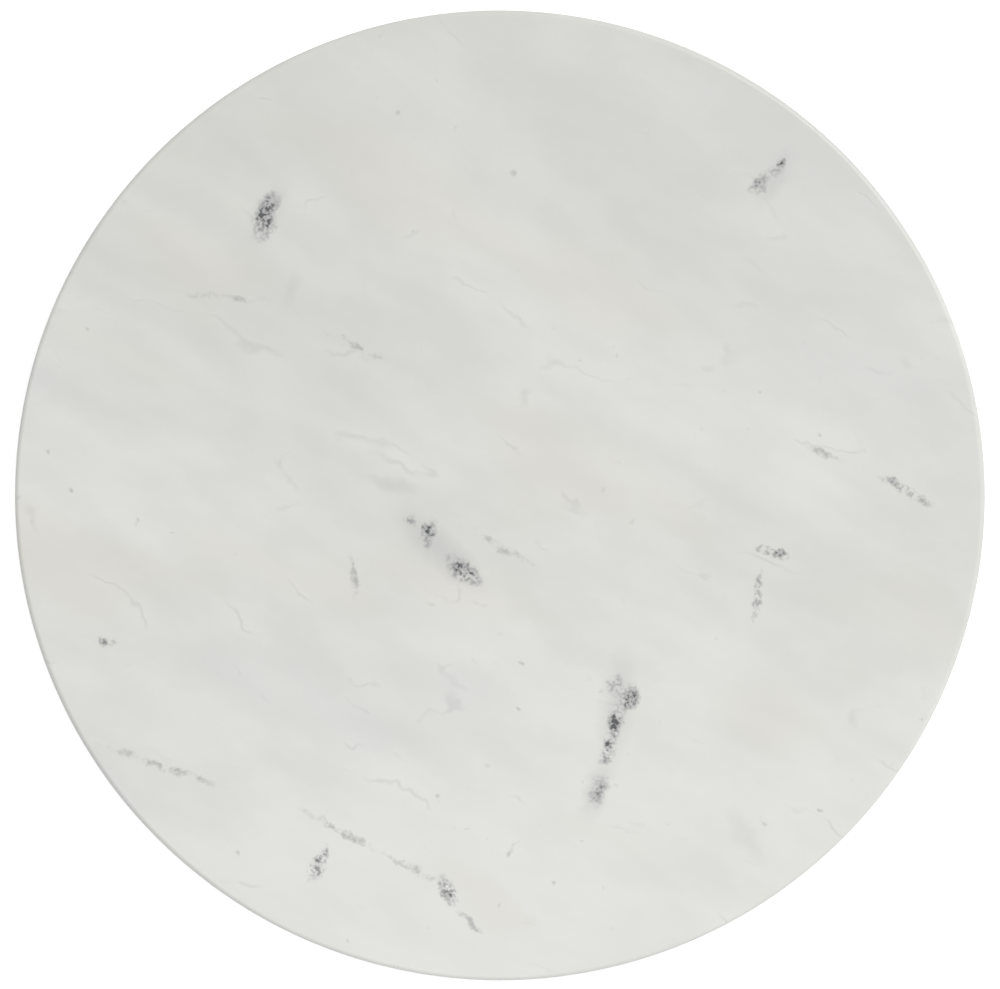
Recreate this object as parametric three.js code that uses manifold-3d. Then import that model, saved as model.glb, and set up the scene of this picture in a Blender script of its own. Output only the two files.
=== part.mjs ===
// A lazy susan: a round marble top that turns on a pressed-steel ball bearing, over a smaller wooden base on
// four rubber feet. Millimetres, +Z up. The origin is on the turning axis, on the surface the feet stand on.
import * as THREE from "three";
import { mergeVertices } from "three/addons/utils/BufferGeometryUtils.js";
import Module from "manifold-3d";

const wasm = await Module();
wasm.setup();

// ---- Driving dimensions ----

// The stack, from the table up.
const FOOT_HEIGHT = 6;
const BASE_THICKNESS = 10;
const BEARING_HEIGHT = 8;
const MARBLE_THICKNESS = 16;

// Marble top: a plain slab with rubbed edges.
const MARBLE_RADIUS = 200;
const MARBLE_TOP_EASE = 2.2;
const MARBLE_BOTTOM_EASE = 1.2;

// Wooden base.
const BASE_RADIUS = 130;
const BASE_EASE = 2;
const ACCESS_HOLE_RADIUS = 9.5; // a screwdriver reaches the marble's screws through it

// Pressed bearing: two square plates whose races face each other.
const SHEET = 1.2;
const PLATE_SIDE = 152;
const PLATE_CORNER = 8;
const SCREW_SQUARE = 132; // side of the square that the four screws of a plate stand on
const PLATE_HOLE_RADIUS = 2.6;
const RACE_RADIUS = 56;
const RACE_SEGMENTS = 36;
const GROOVE_RADIUS = 3.5; // the groove that a ball rolls in, a little wider than the ball
const RIDGE_BEND = 1; // middle of the sheet, over the ridges beside the groove
const RACE_SLOPE = 50; // degrees that the groove's sides climb to
const COLLAR_RADIUS = 47.8; // middle of the lower plate's collar, which holds the plates together
const COLLAR_HEIGHT = 6.2;
const COLLAR_BEND = 1.2;
const COLLAR_REACH = 2.2; // how far the collar's rolled edge reaches over the upper plate's lip
const LIP_EDGE_RADIUS = 48.8;
const LIP_WIDTH = 1.8;
const LIP_RISE_RUN = 1; // how far inwards the sheet runs as it rises from the ridge to the lip
const LIP_HEIGHT = 3.6;

// Balls and their cage.
const BALL_COUNT = 24;
const BALL_RADIUS = 2.65;
const POCKET_RADIUS = 2.95;
const CAGE_THICKNESS = 1.2;
const CAGE_HALF_WIDTH = 3.8;

// Rubber feet.
const FEET = 4;
const FOOT_CIRCLE_RADIUS = 112;
const FOOT_TOP_RADIUS = 10;
const FOOT_BOTTOM_RADIUS = 9;
const FOOT_CHAMFER = 0.6;
const FOOT_RECESS_RADIUS = 5.2;
const FOOT_RECESS_DEPTH = 3.8;
const FOOT_HOLE_RADIUS = 2.2;
const WASHER = { outer: 4.8, inner: 2.2, thickness: 0.8 };

// Fasteners. A screw's length is measured under its head.
const TOP_SCREW = { head: 4, height: 2.2, shank: 2, length: 10, taper: 0.6 };
const BASE_SCREW = { head: 3.8, height: 2.2, shank: 1.9, length: 8, taper: 3 };
const FOOT_SCREW = { head: 3.5, height: 1.9, shank: 1.75, length: 11, taper: 3 };
const RECESS = { width: 0.9, span: 3.8, depth: 1.3 }; // cross recess in every head
const INSERT = { outer: 4, inner: 2.3, length: 10 };
const CLEARANCE = 0.3; // around a piece that sits in a drilled hole
const OVERRUN = 1; // how far a cutting tool passes the face it cuts, or a piece its joint with the next

// Levels.
const BASE_Z = FOOT_HEIGHT;
const BEARING_Z = BASE_Z + BASE_THICKNESS;
const MARBLE_Z = BEARING_Z + BEARING_HEIGHT;
const BALL_Z = BEARING_Z + BEARING_HEIGHT / 2;
const FOOT_SCREW_SEAT_Z = FOOT_RECESS_DEPTH - WASHER.thickness;
const SCREW_CIRCLE_RADIUS = SCREW_SQUARE / Math.SQRT2;

// ---- Materials ----

const material = (color, roughness, metalness = 0) =>
  new THREE.MeshStandardMaterial({ color, roughness, metalness });

const MARBLE = material(0xdbdcd7, 0.35);
const WOOD = material(0x9a6a3e, 0.5);
const ZINC_STEEL = material(0xb4b8b9, 0.38, 1);
const BALL_STEEL = material(0xd4d6d8, 0.12, 1);
const SCREW_STEEL = material(0xa9acae, 0.3, 1);
const NYLON = material(0xe9e4d6, 0.55);
const BRASS = material(0xc2a05a, 0.35, 1);
const RUBBER = material(0x1d1d1e, 0.85);

// ---- Shape helpers ----

const point = (x, y) => new THREE.Vector2(x, y);

// Points along an arc, its two ends included. Angles are in degrees.
function arc(x, y, radius, from, to, steps) {
  return Array.from({ length: steps + 1 }, (_, i) => {
    const angle = THREE.MathUtils.degToRad(from + ((to - from) * i) / steps);
    return point(x + radius * Math.cos(angle), y + radius * Math.sin(angle));
  });
}

// Turns an outline in the plane of radius and height about +Z. The outline runs anticlockwise
// there, and either starts and ends on the axis or closes on itself.
function turned(outline, segments) {
  const profile = outline[0].x === 0 ? outline : [...outline, outline[0]];
  return new THREE.LatheGeometry(profile, segments).rotateX(Math.PI / 2);
}

// The corners of a regular polygon that stands for a circle.
const circle = (radius, count, x = 0, y = 0) => arc(x, y, radius, 0, 360, count).slice(1);

// A flat piece of the given thickness, standing on z = 0, with holes right through it.
function cutFlat(outline, holes, thickness) {
  const shape = new THREE.Shape(outline);
  shape.holes = holes.map((hole) => new THREE.Path(hole));
  return new THREE.ExtrudeGeometry(shape, { depth: thickness, bevelEnabled: false });
}

// The section of bent sheet metal. The path is the middle of the sheet, from the outer edge inwards.
function sheetSection(path, thickness) {
  const along = path.slice(1).map((p, i) => p.clone().sub(path[i]).normalize());
  const side = (sign) =>
    path.map((p, i) => {
      const before = along[Math.max(i - 1, 0)];
      const after = along[Math.min(i, along.length - 1)];
      const normal = point(-before.y - after.y, before.x + after.x).normalize();
      const mitre = normal.y * before.x - normal.x * before.y;
      return p.clone().addScaledVector(normal, (sign * thickness) / 2 / mitre);
    });
  return [...side(-1), ...side(1).reverse()];
}

// manifold-3d joins and cuts. A geometry becomes a solid once its shared vertices are merged.
function toSolid(geometry) {
  const bare = geometry.index ? geometry.toNonIndexed() : geometry.clone();
  bare.deleteAttribute("normal");
  bare.deleteAttribute("uv");
  const merged = mergeVertices(bare, 1e-4);
  return new wasm.Manifold(
    new wasm.Mesh({
      numProp: 3,
      vertProperties: merged.attributes.position.array,
      triVerts: new Uint32Array(merged.index.array),
    }),
  );
}

function toGeometry(solid) {
  const mesh = solid.getMesh();
  const geometry = new THREE.BufferGeometry();
  geometry.setAttribute("position", new THREE.BufferAttribute(mesh.vertProperties, 3));
  geometry.setIndex(new THREE.BufferAttribute(mesh.triVerts, 1));
  geometry.computeVertexNormals();
  return geometry;
}

const cut = (geometry, tools) =>
  toGeometry(tools.reduce((solid, tool) => solid.subtract(toSolid(tool)), toSolid(geometry)));

const joined = (first, second) => toGeometry(toSolid(first).add(toSolid(second)));

// A drill: a cylinder along Z between two heights.
function drill(radius, low, high, [x, y], segments = 16) {
  return new THREE.CylinderGeometry(radius, radius, high - low, segments)
    .rotateX(Math.PI / 2)
    .translate(x, y, (low + high) / 2);
}

// Places round a circle: count of them, the first at the given angle in degrees.
function around(count, radius, firstDegrees) {
  return Array.from({ length: count }, (_, i) => {
    const angle = THREE.MathUtils.degToRad(firstDegrees + (360 * i) / count);
    return [radius * Math.cos(angle), radius * Math.sin(angle)];
  });
}

function named(name, geometry, finish) {
  const mesh = new THREE.Mesh(geometry, finish);
  mesh.name = name;
  return mesh;
}

const numbered = (name, i) => `${name}_${String(i + 1).padStart(2, "0")}`;

// The lower plate's screws stand on the diagonals. The upper plate is turned 45 degrees to it, so
// that each of its screws can be brought over the access hole, clear of the lower plate's sides.
const BASE_SCREW_PLACES = around(4, SCREW_CIRCLE_RADIUS, 45);
const TOP_SCREW_PLACES = around(4, SCREW_CIRCLE_RADIUS, 0);
const FOOT_PLACES = around(FEET, FOOT_CIRCLE_RADIUS, 45);
const ACCESS_HOLE_PLACE = [SCREW_CIRCLE_RADIUS, 0];

// ---- Sub-parts ----

// A pan-head screw: seat of the head at z = 0, head above, shank below, with a cross recess.
function screwGeometry({ head, height, shank, length, taper }) {
  const outline = [
    point(0, -length),
    point(shank / 3, -length),
    point(shank, taper - length),
    point(shank, 0),
    point(head, 0),
    point(head, height / 2),
    point((head * 2) / 3, height),
    point(0, height),
  ];
  const slots = [0, Math.PI / 2].map((angle) =>
    new THREE.BoxGeometry(RECESS.span, RECESS.width, RECESS.depth * 2)
      .rotateZ(angle)
      .translate(0, 0, height),
  );
  return cut(turned(outline, 10), slots);
}

// A round slab between two heights, with its lower and upper edges eased.
function easedDisc(radius, low, high, lowEase, highEase, segments) {
  const outline = [
    point(0, low),
    ...arc(radius - lowEase, low + lowEase, lowEase, -90, 0, 2),
    ...arc(radius - highEase, high - highEase, highEase, 0, 90, 3),
    point(0, high),
  ];
  return turned(outline, segments);
}

function marbleTop() {
  const low = MARBLE_Z;
  const slab = easedDisc(
    MARBLE_RADIUS, low, low + MARBLE_THICKNESS, MARBLE_BOTTOM_EASE, MARBLE_TOP_EASE, 96,
  );
  const blindHoles = TOP_SCREW_PLACES.map((place) =>
    drill(INSERT.outer + CLEARANCE, low - OVERRUN, low + INSERT.length + CLEARANCE, place),
  );
  return named("marble_top", cut(slab, blindHoles), MARBLE);
}

function threadedInserts() {
  const { outer, inner, length } = INSERT;
  const outline = [point(inner, 0), point(outer, 0), point(outer, length), point(inner, length)];
  return TOP_SCREW_PLACES.map(([x, y], i) => {
    const insert = named(numbered("threaded_insert", i), turned(outline, 12), BRASS);
    insert.position.set(x, y, MARBLE_Z);
    return insert;
  });
}

function topScrews() {
  return TOP_SCREW_PLACES.map(([x, y], i) => {
    const screw = named(numbered("top_screw", i), screwGeometry(TOP_SCREW), SCREW_STEEL);
    screw.position.set(x, y, MARBLE_Z - SHEET);
    screw.rotation.x = Math.PI;
    return screw;
  });
}

// The race's wave in the middle of the sheet, from the flat inwards: valley, ridge, groove, ridge.
// Heights are above the underside of the lower plate, and the last point tops the inner ridge.
function racePath() {
  const bend = GROOVE_RADIUS + SHEET / 2;
  const bendHeight = SHEET + GROOVE_RADIUS;
  const slope = THREE.MathUtils.degToRad(RACE_SLOPE);
  const run = (bend + RIDGE_BEND) * Math.sin(slope);
  const ridgeHeight = bendHeight - (bend + RIDGE_BEND) * Math.cos(slope);
  const low = -90;
  const top = 90;
  return [
    point(RACE_RADIUS + 2 * run + 2 * OVERRUN, SHEET / 2),
    ...arc(RACE_RADIUS + 2 * run, bendHeight, bend, low, low - RACE_SLOPE, 2),
    ...arc(RACE_RADIUS + run, ridgeHeight, RIDGE_BEND, top - RACE_SLOPE, top + RACE_SLOPE, 2).slice(1),
    ...arc(RACE_RADIUS, bendHeight, bend, low + RACE_SLOPE, low - RACE_SLOPE, 5).slice(1),
    ...arc(RACE_RADIUS - run, ridgeHeight, RIDGE_BEND, top - RACE_SLOPE, top, 2).slice(1),
  ];
}

// One square plate with its pressed race: the path is the sheet's middle from the flat to the inner edge.
function pressedPlate(path) {
  const half = PLATE_SIDE / 2 - PLATE_CORNER;
  const outline = [
    ...arc(half, half, PLATE_CORNER, 0, 90, 4),
    ...arc(-half, half, PLATE_CORNER, 90, 180, 4),
    ...arc(-half, -half, PLATE_CORNER, 180, 270, 4),
    ...arc(half, -half, PLATE_CORNER, 270, 360, 4),
  ];
  const opening = circle(path[0].x - OVERRUN, RACE_SEGMENTS);
  const screwHoles = BASE_SCREW_PLACES.map(([x, y]) => circle(PLATE_HOLE_RADIUS, 12, x, y));
  const flat = cutFlat(outline, [opening, ...screwHoles], SHEET);
  return joined(flat, turned(sheetSection(path, SHEET), RACE_SEGMENTS));
}

// The lower plate ends in a collar that rises through the upper plate and is rolled outwards over its lip.
function lowerPlate() {
  const race = racePath();
  const foot = race.at(-1).y + COLLAR_BEND;
  const bendRadius = COLLAR_RADIUS + COLLAR_BEND;
  const path = [
    ...race,
    ...arc(bendRadius, foot, COLLAR_BEND, -90, -180, 2),
    ...arc(bendRadius, COLLAR_HEIGHT - COLLAR_BEND, COLLAR_BEND, 180, 90, 2),
    point(COLLAR_RADIUS + COLLAR_REACH, COLLAR_HEIGHT),
  ];
  const plate = named("lower_bearing_plate", pressedPlate(path), ZINC_STEEL);
  plate.position.z = BEARING_Z;
  return plate;
}

// The upper plate is the same pressing turned over, with a lip under the collar's rolled edge.
function upperPlate() {
  const race = racePath();
  const path = [
    ...race,
    point(LIP_EDGE_RADIUS + LIP_WIDTH + LIP_RISE_RUN, race.at(-1).y),
    point(LIP_EDGE_RADIUS + LIP_WIDTH, LIP_HEIGHT),
    point(LIP_EDGE_RADIUS, LIP_HEIGHT),
  ];
  const plate = named("upper_bearing_plate", pressedPlate(path), ZINC_STEEL);
  plate.rotation.set(Math.PI, 0, Math.PI / 4);
  plate.position.z = MARBLE_Z;
  return plate;
}

function ballCage() {
  const pockets = around(BALL_COUNT, RACE_RADIUS, 0).map(([x, y]) => circle(POCKET_RADIUS, 10, x, y));
  const inside = circle(RACE_RADIUS - CAGE_HALF_WIDTH, 48);
  const flat = cutFlat(circle(RACE_RADIUS + CAGE_HALF_WIDTH, 48), [inside, ...pockets], CAGE_THICKNESS);
  const cage = named("ball_cage", flat, NYLON);
  cage.position.z = BALL_Z - CAGE_THICKNESS / 2;
  return cage;
}

function balls() {
  return around(BALL_COUNT, RACE_RADIUS, 0).map(([x, y], i) => {
    const sphere = new THREE.SphereGeometry(BALL_RADIUS, 8, 6).rotateX(Math.PI / 2);
    const ball = named(numbered("bearing_ball", i), sphere, BALL_STEEL);
    ball.position.set(x, y, BALL_Z);
    return ball;
  });
}

function woodenBase() {
  const low = BASE_Z;
  const high = BASE_Z + BASE_THICKNESS;
  const accessHole = drill(ACCESS_HOLE_RADIUS, low - OVERRUN, high + OVERRUN, ACCESS_HOLE_PLACE, 24);
  const plateScrewTip = high + SHEET - BASE_SCREW.length;
  const plateHoles = BASE_SCREW_PLACES.map((place) =>
    drill(BASE_SCREW.shank + CLEARANCE, plateScrewTip - CLEARANCE, high + OVERRUN, place, 12),
  );
  const footScrewTip = FOOT_SCREW_SEAT_Z + FOOT_SCREW.length;
  const footHoles = FOOT_PLACES.map((place) =>
    drill(FOOT_SCREW.shank + CLEARANCE, low - OVERRUN, footScrewTip + CLEARANCE, place, 12),
  );
  const slab = easedDisc(BASE_RADIUS, low, high, BASE_EASE, BASE_EASE, 72);
  return named("wooden_base", cut(slab, [accessHole, ...plateHoles, ...footHoles]), WOOD);
}

function basePlateScrews() {
  return BASE_SCREW_PLACES.map(([x, y], i) => {
    const screw = named(numbered("base_screw", i), screwGeometry(BASE_SCREW), SCREW_STEEL);
    screw.position.set(x, y, BEARING_Z + SHEET);
    return screw;
  });
}

// Each foot is a rubber bumper with a steel washer in its recess, held by a screw whose head stays
// clear of the table.
function feet() {
  const outline = [
    point(FOOT_HOLE_RADIUS, FOOT_RECESS_DEPTH),
    point(FOOT_RECESS_RADIUS, FOOT_RECESS_DEPTH),
    point(FOOT_RECESS_RADIUS, 0),
    point(FOOT_BOTTOM_RADIUS - FOOT_CHAMFER, 0),
    point(FOOT_BOTTOM_RADIUS, FOOT_CHAMFER),
    point(FOOT_TOP_RADIUS, FOOT_HEIGHT),
    point(FOOT_HOLE_RADIUS, FOOT_HEIGHT),
  ];
  const ring = [
    point(WASHER.inner, 0),
    point(WASHER.outer, 0),
    point(WASHER.outer, WASHER.thickness),
    point(WASHER.inner, WASHER.thickness),
  ];
  return FOOT_PLACES.flatMap(([x, y], i) => {
    const foot = named(numbered("rubber_foot", i), turned(outline, 20), RUBBER);
    foot.position.set(x, y, 0);
    const washer = named(numbered("foot_washer", i), turned(ring, 12), ZINC_STEEL);
    washer.position.set(x, y, FOOT_SCREW_SEAT_Z);
    const screw = named(numbered("foot_screw", i), screwGeometry(FOOT_SCREW), SCREW_STEEL);
    screw.position.set(x, y, FOOT_SCREW_SEAT_Z);
    screw.rotation.x = Math.PI;
    return [foot, washer, screw];
  });
}

// ---- Assembly ----

const standing = new THREE.Group();
standing.add(woodenBase(), lowerPlate(), ...basePlateScrews(), ...feet());

const rolling = new THREE.Group();
rolling.add(ballCage(), ...balls());

const turning = new THREE.Group();
turning.add(marbleTop(), upperPlate(), ...threadedInserts(), ...topScrews());

const lazySusan = new THREE.Group();
lazySusan.add(standing, rolling, turning);

export default lazySusan;
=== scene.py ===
import math

import bmesh
import bpy
from mathutils import Matrix, Vector


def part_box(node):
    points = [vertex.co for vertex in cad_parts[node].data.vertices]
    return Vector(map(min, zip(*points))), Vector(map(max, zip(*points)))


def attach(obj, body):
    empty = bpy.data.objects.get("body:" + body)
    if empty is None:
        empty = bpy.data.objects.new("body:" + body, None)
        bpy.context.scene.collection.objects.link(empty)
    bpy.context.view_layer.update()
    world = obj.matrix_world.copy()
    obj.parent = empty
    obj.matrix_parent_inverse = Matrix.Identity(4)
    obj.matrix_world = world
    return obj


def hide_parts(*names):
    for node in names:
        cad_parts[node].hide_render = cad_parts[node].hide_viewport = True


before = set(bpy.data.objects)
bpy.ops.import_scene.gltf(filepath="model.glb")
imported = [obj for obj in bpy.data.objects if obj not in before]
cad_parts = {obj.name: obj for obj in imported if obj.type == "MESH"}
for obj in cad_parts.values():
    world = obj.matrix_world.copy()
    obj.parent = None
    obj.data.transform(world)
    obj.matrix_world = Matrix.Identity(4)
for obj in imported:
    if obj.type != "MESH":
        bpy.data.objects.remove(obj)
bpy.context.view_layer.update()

MM = 0.001
TURN = 2 * math.pi


def box_mm(node):
    """A CAD node's lowest and highest corner, in millimetres."""
    low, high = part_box(node)
    return low / MM, high / MM


def numbered(name, count):
    return [f"{name}_{i:02d}" for i in range(1, count + 1)]


def places(nodes):
    """The (x, y) of each node's own axis."""
    middles = [(low + high) / 2 for low, high in map(box_mm, nodes)]
    return [(middle.x, middle.y) for middle in middles]


TOP_SCREWS = numbered("top_screw", 4)
BASE_SCREWS = numbered("base_screw", 4)
FOOT_SCREWS = numbered("foot_screw", 4)
INSERTS = numbered("threaded_insert", 4)
WASHERS = numbered("foot_washer", 4)
FEET = numbered("rubber_foot", 4)
BALLS = numbered("bearing_ball", 24)

marble_low, marble_high = box_mm("marble_top")
base_low, base_high = box_mm("wooden_base")
cage_low, cage_high = box_mm("ball_cage")

# ---- Sizes that the frame's boxes don't give ----

MARBLE_TOP_EASE = 2.2
MARBLE_BOTTOM_EASE = 1.2
BASE_EASE = 2
ACCESS_HOLE = 9.5
CLEARANCE = 0.3

SHEET = 1.2
SHEET_EDGE = 0.25  # how far the sheet's cut edges are rubbed round
PLATE_SIDE = 152
PLATE_CORNER = 8
PLATE_HOLE = 2.6
RACE_RADIUS = 56
GROOVE_RADIUS = 3.5
RIDGE_BEND = 1
RACE_SLOPE = 50
COLLAR_RADIUS = 47.8
COLLAR_HEIGHT = 6.2
COLLAR_BEND = 1.2
COLLAR_REACH = 2.2
LIP_EDGE_RADIUS = 48.8
LIP_WIDTH = 1.8
LIP_RISE_RUN = 1
LIP_HEIGHT = 3.6
LIP_BEND = 1
POCKET_RADIUS = 2.95
BALL_RADIUS = 2.65

INSERT = {"outer": 4, "inner": 2.3, "length": 10}
WASHER = {"outer": 4.8, "inner": 2.2, "thickness": 0.8}
FOOT = {"top": 10, "bottom": 9, "height": 6, "hole": 2.2, "recess": 5.2, "recess_depth": 3.8}
TOP_SCREW = {
    "head": 4, "height": 2.2, "shank": 2, "length": 10,
    "taper": 0.6, "tip": 0.75, "pitch": 0.7, "depth": 0.4,
}
BASE_SCREW = {
    "head": 3.8, "height": 2.2, "shank": 1.9, "length": 8,
    "taper": 3, "tip": 0.1, "pitch": 1.6, "depth": 0.6,
}
FOOT_SCREW = {
    "head": 3.5, "height": 1.9, "shank": 1.75, "length": 11,
    "taper": 3, "tip": 0.1, "pitch": 1.6, "depth": 0.6,
}

BASE_TOP = base_high.z
MARBLE_UNDERSIDE = marble_low.z
FOOT_SCREW_SEAT = FOOT["recess_depth"] - WASHER["thickness"]

# ---- Camera: straight above, with the slab nearly filling the frame ----

LENS = 135
SENSOR = 36
WIDTH_OF_VIEW = 411.8  # across the frame, at the level of the top face
CAMERA_Y = 0.35  # the slab sits a little below the middle of the frame

camera_data = bpy.data.cameras.new("camera")
camera_data.lens = LENS
camera_data.sensor_width = SENSOR
camera = bpy.data.objects.new("camera", camera_data)
camera.location = Vector((0, CAMERA_Y, marble_high.z + WIDTH_OF_VIEW * LENS / SENSOR)) * MM
bpy.context.scene.collection.objects.link(camera)
bpy.context.scene.camera = camera
bpy.context.scene.view_settings.view_transform = "Standard"


# ---- Mesh helpers ----

def arc(x, y, radius, start, end, steps=6):
    """Points along an arc, its two ends included. Angles are in degrees."""
    angles = [math.radians(start + (end - start) * i / steps) for i in range(steps + 1)]
    return [(x + radius * math.cos(a), y + radius * math.sin(a)) for a in angles]


def circle(x, y, radius, segments):
    """A round outline, as a function of how far it is grown."""
    return lambda grow: arc(x, y, radius + grow, 0, 360, segments)[1:]


def rounded_square(side, corner, steps=10):
    """A square outline with round corners, as a function of how far it is grown."""
    middle = side / 2 - corner

    def outline(grow):
        points = []
        for i, (x, y) in enumerate([(1, 1), (-1, 1), (-1, -1), (1, -1)]):
            points += arc(x * middle, y * middle, corner + grow, 90 * i, 90 * i + 90, steps)
        return points

    return outline


def bridge(bm, first, second):
    """Faces between two rings of vertices. Either ring may be a single vertex."""
    count = max(len(first), len(second))
    for i in range(count):
        j = (i + 1) % count
        near = [first[i % len(first)], first[j % len(first)]]
        far = [second[j % len(second)], second[i % len(second)]]
        bm.faces.new(list(dict.fromkeys(near + far)))


def stack(bm, rings):
    for first, second in zip(rings, rings[1:]):
        bridge(bm, first, second)


def wall(bm, outline, profile):
    """A wall that follows an outline up a profile of (growth, height). It returns its first and last ring."""
    rings = [[bm.verts.new((x, y, z)) for x, y in outline(grow)] for grow, z in profile]
    stack(bm, rings)
    return rings[0], rings[-1]


def lathe(bm, profile, segments):
    """Turns a profile of (radius, height) about +Z into rings. A radius may be a function of the angle."""
    rings = []
    for radius, height in profile:
        if radius == 0:
            rings.append([bm.verts.new((0, 0, height))])
            continue
        angles = [TURN * i / segments for i in range(segments)]
        radii = [radius(a) if callable(radius) else radius for a in angles]
        points = [(r * math.cos(a), r * math.sin(a), height) for a, r in zip(angles, radii)]
        rings.append([bm.verts.new(point) for point in points])
    stack(bm, rings)
    return rings


def rounded(low, high, low_round, high_round, side, steps=5):
    """The profile of a wall with rounded edges. Side is 1 on an outer wall and -1 on a hole's."""
    turns = [math.radians(90 * i / steps) for i in range(steps + 1)]
    first = [(side * low_round * (math.sin(t) - 1), low + low_round * (1 - math.cos(t))) for t in turns]
    last = [(side * high_round * (math.sin(t) - 1), high - high_round * (1 - math.cos(t))) for t in turns]
    return first + last[::-1]


def fill(bm, *loops):
    """A flat face between an outer ring of vertices and the rings inside it."""
    edges = []
    for loop in loops:
        for a, b in zip(loop, loop[1:] + loop[:1]):
            edges.append(bm.edges.get((a, b)) or bm.edges.new((a, b)))
    bmesh.ops.triangle_fill(bm, use_beauty=True, edges=edges)


def cap(bm, rim):
    """A flat face over a ring round the axis, in bands that keep its shading even."""
    rings = [rim]
    for share in (0.98, 0.75, 0.5, 0.25, 0.05):
        rings.append([bm.verts.new((v.co.x * share, v.co.y * share, v.co.z)) for v in rim])
    rings.append([bm.verts.new((0, 0, rim[0].co.z))])
    stack(bm, rings)


def blind_hole(bm, x, y, radius, opening, floor, chamfer, segments=32):
    """A drilled hole with a broken edge. It returns the ring of its opening."""
    inwards = 1 if floor > opening else -1
    profile = [(chamfer, opening), (0, opening + inwards * chamfer), (0, floor)]
    mouth, end = wall(bm, circle(x, y, radius, segments), profile)
    bm.faces.new(end)
    return mouth


def to_mesh(bm, name, sharp=32):
    """A smooth-shaded mesh in metres, with edges over the given angle kept sharp."""
    bmesh.ops.recalc_face_normals(bm, faces=bm.faces)
    mesh = bpy.data.meshes.new(name)
    bm.to_mesh(mesh)
    bm.free()
    mesh.transform(Matrix.Scale(MM, 4))
    mesh.shade_smooth()
    mesh.set_sharp_from_angle(angle=math.radians(sharp))
    return mesh


def cut(mesh, cutter, sharp=32):
    """The mesh with the cutter's shape taken out of it."""
    objects = [bpy.data.objects.new(m.name, m) for m in (mesh, cutter)]
    for obj in objects:
        bpy.context.scene.collection.objects.link(obj)
    boolean = objects[0].modifiers.new("cut", "BOOLEAN")
    boolean.operation = "DIFFERENCE"
    boolean.solver = "EXACT"
    boolean.object = objects[1]
    evaluated = objects[0].evaluated_get(bpy.context.evaluated_depsgraph_get())
    result = bpy.data.meshes.new_from_object(evaluated)
    for obj in objects:
        bpy.data.objects.remove(obj)
    result.shade_smooth()
    result.set_sharp_from_angle(angle=math.radians(sharp))
    return result


def place(node, mesh, material, body, at=(0, 0, 0), turn=(0, 0, 0)):
    """Puts a finished piece where its CAD node is, and lets it ride on the same body."""
    obj = bpy.data.objects.new(f"{node}_finished", mesh)
    bpy.context.scene.collection.objects.link(obj)
    if not mesh.materials:
        mesh.materials.append(material)
    obj.location = Vector(at) * MM
    obj.rotation_euler = turn
    normals = obj.modifiers.new("even_normals", "WEIGHTED_NORMAL")
    normals.keep_sharp = True
    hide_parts(node)
    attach(obj, body)
    return obj


# ---- Material helpers ----

def rgb(red, green, blue):
    """A display colour from 0 to 255 as the linear colour that a shader takes."""
    shares = [c / 255 for c in (red, green, blue)]
    return tuple(c / 12.92 if c < 0.04045 else ((c + 0.055) / 1.055) ** 2.4 for c in shares) + (1,)


class Graph:
    """A node tree, with one short call for each kind of node."""

    def __init__(self, tree):
        self.tree = tree

    def add(self, kind, inputs, **settings):
        node = self.tree.nodes.new("ShaderNode" + kind)
        for name, value in settings.items():
            setattr(node, name, value)
        for key, value in inputs.items():
            if isinstance(value, bpy.types.NodeSocket):
                self.tree.links.new(value, node.inputs[key])
            elif value is not None:
                node.inputs[key].default_value = value
        return node

    def math(self, operation, a, b=None, c=None):
        return self.add("Math", {0: a, 1: b, 2: c}, operation=operation).outputs[0]

    def vector(self, operation, a, b=None, c=None, **extra):
        node = self.add("VectorMath", {0: a, 1: b, 2: c, **extra}, operation=operation)
        return node.outputs["Value" if operation in ("LENGTH", "DOT_PRODUCT") else "Vector"]

    def ramp(self, value, low, high, to_low=0, to_high=1):
        """Value runs from low to high as the result runs from to_low to to_high, with both ends held."""
        inputs = {"Value": value, "From Min": low, "From Max": high, "To Min": to_low, "To Max": to_high}
        return self.add("MapRange", inputs, interpolation_type="SMOOTHSTEP").outputs[0]

    def mix(self, share, a, b):
        return self.add("Mix", {0: share, 6: a, 7: b}, data_type="RGBA").outputs[2]

    def split(self, vector):
        return self.add("SeparateXYZ", {0: vector}).outputs


class Paint(Graph):
    """A procedural material. Positions in it are in millimetres, from the object's own origin."""

    def __init__(self, name, metallic=0, sockets=None):
        self.material = bpy.data.materials.new(name)
        self.material.use_nodes = True
        super().__init__(self.material.node_tree)
        self.shader = self.tree.nodes["Principled BSDF"]
        self.shader.inputs["Metallic"].default_value = metallic
        for socket, value in (sockets or {}).items():
            self.shader.inputs[socket].default_value = value
        coordinates = self.add("TexCoord", {})
        self.at = self.vector("SCALE", coordinates.outputs["Object"], Scale=1 / MM)

    def noise(self, size, detail=2, at=None, distortion=0, output="Fac"):
        inputs = {"Vector": at or self.at, "Scale": 1 / size, "Detail": detail, "Distortion": distortion}
        return self.add("TexNoise", inputs).outputs[output]

    def from_axis(self):
        """The distance from the object's own Z axis."""
        return self.vector("LENGTH", self.vector("MULTIPLY", self.at, (1, 1, 0)))

    def finish(self, colour, roughness, height=None, depth=0.02):
        """Links the surface. Depth is how far, in millimetres, the bump's height of 0 to 1 stands for."""
        self.tree.links.new(colour, self.shader.inputs["Base Color"])
        self.tree.links.new(roughness, self.shader.inputs["Roughness"])
        if height is not None:
            bump = self.add("Bump", {"Strength": 1, "Distance": depth * MM, "Height": height})
            self.tree.links.new(bump.outputs[0], self.shader.inputs["Normal"])
        return self.material


# ---- Marble ----

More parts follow.
